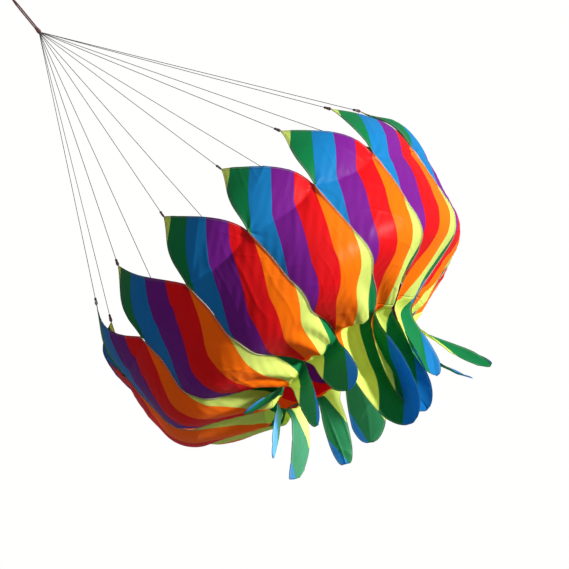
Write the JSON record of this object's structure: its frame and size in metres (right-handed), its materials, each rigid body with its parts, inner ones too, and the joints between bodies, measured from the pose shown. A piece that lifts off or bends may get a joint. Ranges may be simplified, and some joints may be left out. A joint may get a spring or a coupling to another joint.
{
  "type": "spinning drogue kite tail",
  "caption": "Bowl-shaped spinning drogue of staggered rainbow cloth panels with loose tails, on a many-legged bridle, a doubled leader and a swivel bolt snap.",
  "frame": {"origin": "seat inside the snap's hook, where the kite line's loop pulls", "axes": "+Z is the pull of the kite line, everything hangs below; +X is square to the hook's side, towards its bolt; -Y is the side on which the panels bunch up"},
  "size_m": [0.9199, 0.9214, 1.6095],
  "materials": {
    "rainbow_cloth": "polyester taffeta printed with rainbow stripes",
    "maroon_cord": "braided cord",
    "dark_thread": "waxed whipping thread",
    "bridle_line": "thin braided line",
    "plated_metal": "nickel-plated casting",
    "spring_steel": "bright wire"
  },
  "bodies": {
    "snap": {"snap_body": "plated_metal", "bolt_spring": "spring_steel"},
    "bolt": {"snap_bolt": "plated_metal", "thumb_knob": "plated_metal"},
    "eye": {"swivel_eye": "plated_metal"},
    "drogue": {"leader_cord": "maroon_cord", "leader_whipping": "dark_thread", "bridle_knot": "dark_thread", "vent_cord": "bridle_line", "bridle_line_01": "bridle_line", "bridle_line_02": "bridle_line", "bridle_line_03": "bridle_line", "bridle_line_04": "bridle_line", "bridle_line_05": "bridle_line", "bridle_line_06": "bridle_line", "bridle_line_07": "bridle_line", "bridle_line_08": "bridle_line", "bridle_line_09": "bridle_line", "bridle_line_10": "bridle_line", "bridle_line_11": "bridle_line", "bridle_line_12": "bridle_line", "tip_loop_01": "maroon_cord", "tip_loop_02": "maroon_cord", "tip_loop_03": "maroon_cord", "tip_loop_04": "maroon_cord", "tip_loop_05": "maroon_cord", "tip_loop_06": "maroon_cord", "tip_loop_07": "maroon_cord", "tip_loop_08": "maroon_cord", "tip_loop_09": "maroon_cord", "tip_loop_10": "maroon_cord", "tip_loop_11": "maroon_cord", "tip_loop_12": "maroon_cord", "panel_01": "rainbow_cloth", "panel_02": "rainbow_cloth", "panel_03": "rainbow_cloth", "panel_04": "rainbow_cloth", "panel_05": "rainbow_cloth", "panel_06": "rainbow_cloth", "panel_07": "rainbow_cloth", "panel_08": "rainbow_cloth", "panel_09": "rainbow_cloth", "panel_10": "rainbow_cloth", "panel_11": "rainbow_cloth", "panel_12": "rainbow_cloth"},
    "tail_01": {"tail_01": "rainbow_cloth"},
    "tail_02": {"tail_02": "rainbow_cloth"},
    "tail_03": {"tail_03": "rainbow_cloth"},
    "tail_04": {"tail_04": "rainbow_cloth"},
    "tail_05": {"tail_05": "rainbow_cloth"},
    "tail_06": {"tail_06": "rainbow_cloth"},
    "tail_07": {"tail_07": "rainbow_cloth"},
    "tail_08": {"tail_08": "rainbow_cloth"},
    "tail_09": {"tail_09": "rainbow_cloth"},
    "tail_10": {"tail_10": "rainbow_cloth"},
    "tail_11": {"tail_11": "rainbow_cloth"},
    "tail_12": {"tail_12": "rainbow_cloth"}
  },
  "joints": [
    {"name": "bolt_slide", "type": "slide", "parent": "snap", "child": "bolt", "axis": [0, 0, -1], "range_m": [0, 0.011], "stiffness_N_per_m": 250, "springref_m": -0.004, "deforming": ["bolt_spring"]},
    {"name": "swivel_spin", "type": "hinge", "parent": "snap", "child": "eye", "pos_m": [0, 0, -0.0595], "axis": [0, 0, 1], "continuous": true},
    {"name": "leader_swing", "type": "hinge", "parent": "eye", "child": "drogue", "pos_m": [0, 0, -0.0756], "axis": [1, 0, 0], "range_deg": [-70, 70]},
    {"name": "tail_01_flutter", "type": "hinge", "parent": "drogue", "child": "tail_01", "pos_m": [0.21831, 0.0504, -1.389], "axis": [0.2092, -0.9777, -0.0183], "range_deg": [-20, 45], "stiffness_Nm_per_rad": 0.05},
    {"name": "tail_02_flutter", "type": "hinge", "parent": "drogue", "child": "tail_02", "pos_m": [0.21209, -0.07367, -1.38845], "axis": [-0.3058, -0.9517, 0.0268], "range_deg": [-20, 45], "stiffness_Nm_per_rad": 0.05},
    {"name": "tail_03_flutter", "type": "hinge", "parent": "drogue", "child": "tail_03", "pos_m": [0.15197, -0.17133, -1.38319], "axis": [-0.7112, -0.7003, 0.0622], "range_deg": [-20, 45], "stiffness_Nm_per_rad": 0.05},
    {"name": "tail_04_flutter", "type": "hinge", "parent": "drogue", "child": "tail_04", "pos_m": [0.06032, -0.22763, -1.37518], "axis": [-0.9449, -0.3169, 0.0827], "range_deg": [-20, 45], "stiffness_Nm_per_rad": 0.05},
    {"name": "tail_05_flutter", "type": "hinge", "parent": "drogue", "child": "tail_05", "pos_m": [-0.04407, -0.23827, -1.36604], "axis": [-0.989, 0.1197, 0.0865], "range_deg": [-20, 45], "stiffness_Nm_per_rad": 0.05},
    {"name": "tail_06_flutter", "type": "hinge", "parent": "drogue", "child": "tail_06", "pos_m": [-0.14513, -0.20163, -1.3572], "axis": [-0.8369, 0.5424, 0.0732], "range_deg": [-20, 45], "stiffness_Nm_per_rad": 0.05},
    {"name": "tail_07_flutter", "type": "hinge", "parent": "drogue", "child": "tail_07", "pos_m": [-0.22359, -0.1181, -1.35034], "axis": [-0.4902, 0.8706, 0.0429], "range_deg": [-60, 0], "stiffness_Nm_per_rad": 0.05},
    {"name": "tail_08_flutter", "type": "hinge", "parent": "drogue", "child": "tail_08", "pos_m": [-0.25453, 0.00219, -1.34763], "axis": [0.0091, 1, -0.0008], "range_deg": [-20, 45], "stiffness_Nm_per_rad": 0.05},
    {"name": "tail_09_flutter", "type": "hinge", "parent": "drogue", "child": "tail_09", "pos_m": [-0.21631, 0.13018, -1.35097], "axis": [0.5403, 0.8401, -0.0473], "range_deg": [-20, 35], "stiffness_Nm_per_rad": 0.05},
    {"name": "tail_10_flutter", "type": "hinge", "parent": "drogue", "child": "tail_10", "pos_m": [-0.10935, 0.22072, -1.36033], "axis": [0.9162, 0.3927, -0.0802], "range_deg": [-20, 45], "stiffness_Nm_per_rad": 0.05},
    {"name": "tail_11_flutter", "type": "hinge", "parent": "drogue", "child": "tail_11", "pos_m": [0.03232, 0.23516, -1.37273], "axis": [0.9761, -0.1998, -0.0854], "range_deg": [-20, 45], "stiffness_Nm_per_rad": 0.05},
    {"name": "tail_12_flutter", "type": "hinge", "parent": "drogue", "child": "tail_12", "pos_m": [0.15523, 0.16806, -1.38348], "axis": [0.6976, -0.7139, -0.061], "range_deg": [-20, 45], "stiffness_Nm_per_rad": 0.05}
  ]
}
